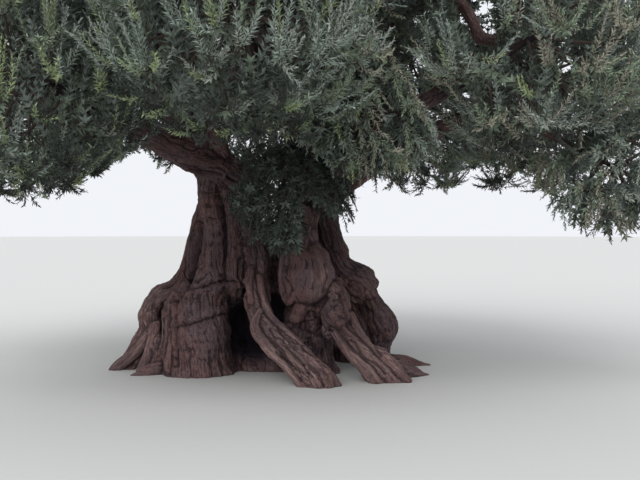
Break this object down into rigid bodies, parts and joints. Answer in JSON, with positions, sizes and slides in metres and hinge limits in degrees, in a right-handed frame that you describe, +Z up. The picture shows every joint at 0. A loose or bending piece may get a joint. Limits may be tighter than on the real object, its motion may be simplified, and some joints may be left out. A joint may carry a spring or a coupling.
{
  "type": "olive tree",
  "caption": "Very old olive tree with a split, ribbed trunk on spreading legs, heavy boughs and a low, wide crown of grey-green foliage.",
  "frame": {"origin": "on the flat cut at ground level, under the heart of the trunk", "axes": "+Z up the tree; +X to the right and -Y towards the viewer when the two hollows of the trunk face the viewer"},
  "size_m": [8.9998, 8.5091, 6.448],
  "materials": {
    "bark": "rough, furrowed bark with pale weathered ridges",
    "limb_bark": "rough dark bark",
    "foliage": "narrow grey-green leaves, dull above and silvery below"
  },
  "bodies": {
    "root": {"trunk": "bark", "bough_left_front": "limb_bark", "bough_left": "limb_bark", "bough_left_back": "limb_bark", "bough_upper_left": "limb_bark", "bough_upper_left_front": "limb_bark", "bough_right_front": "limb_bark", "bough_right": "limb_bark", "bough_right_low": "limb_bark", "bough_front_low": "limb_bark", "bough_right_back": "limb_bark", "bough_back": "limb_bark", "bough_back_low": "limb_bark", "bough_front": "limb_bark", "bough_middle": "limb_bark", "bough_top": "limb_bark", "bough_upper_right": "limb_bark", "bough_upper_right_front": "limb_bark", "bough_upper_back": "limb_bark", "bough_stub": "limb_bark", "foliage_front": "foliage", "foliage_right_front": "foliage", "foliage_right": "foliage", "foliage_right_back": "foliage", "foliage_back": "foliage", "foliage_left_back": "foliage", "foliage_left": "foliage", "foliage_left_front": "foliage", "foliage_right_low": "foliage", "foliage_front_low": "foliage", "foliage_back_low": "foliage", "foliage_middle": "foliage", "foliage_upper_left_front": "foliage", "foliage_upper_right_front": "foliage", "foliage_upper_right": "foliage", "foliage_upper_back": "foliage", "foliage_upper_left": "foliage", "foliage_top": "foliage"}
  },
  "joints": []
}
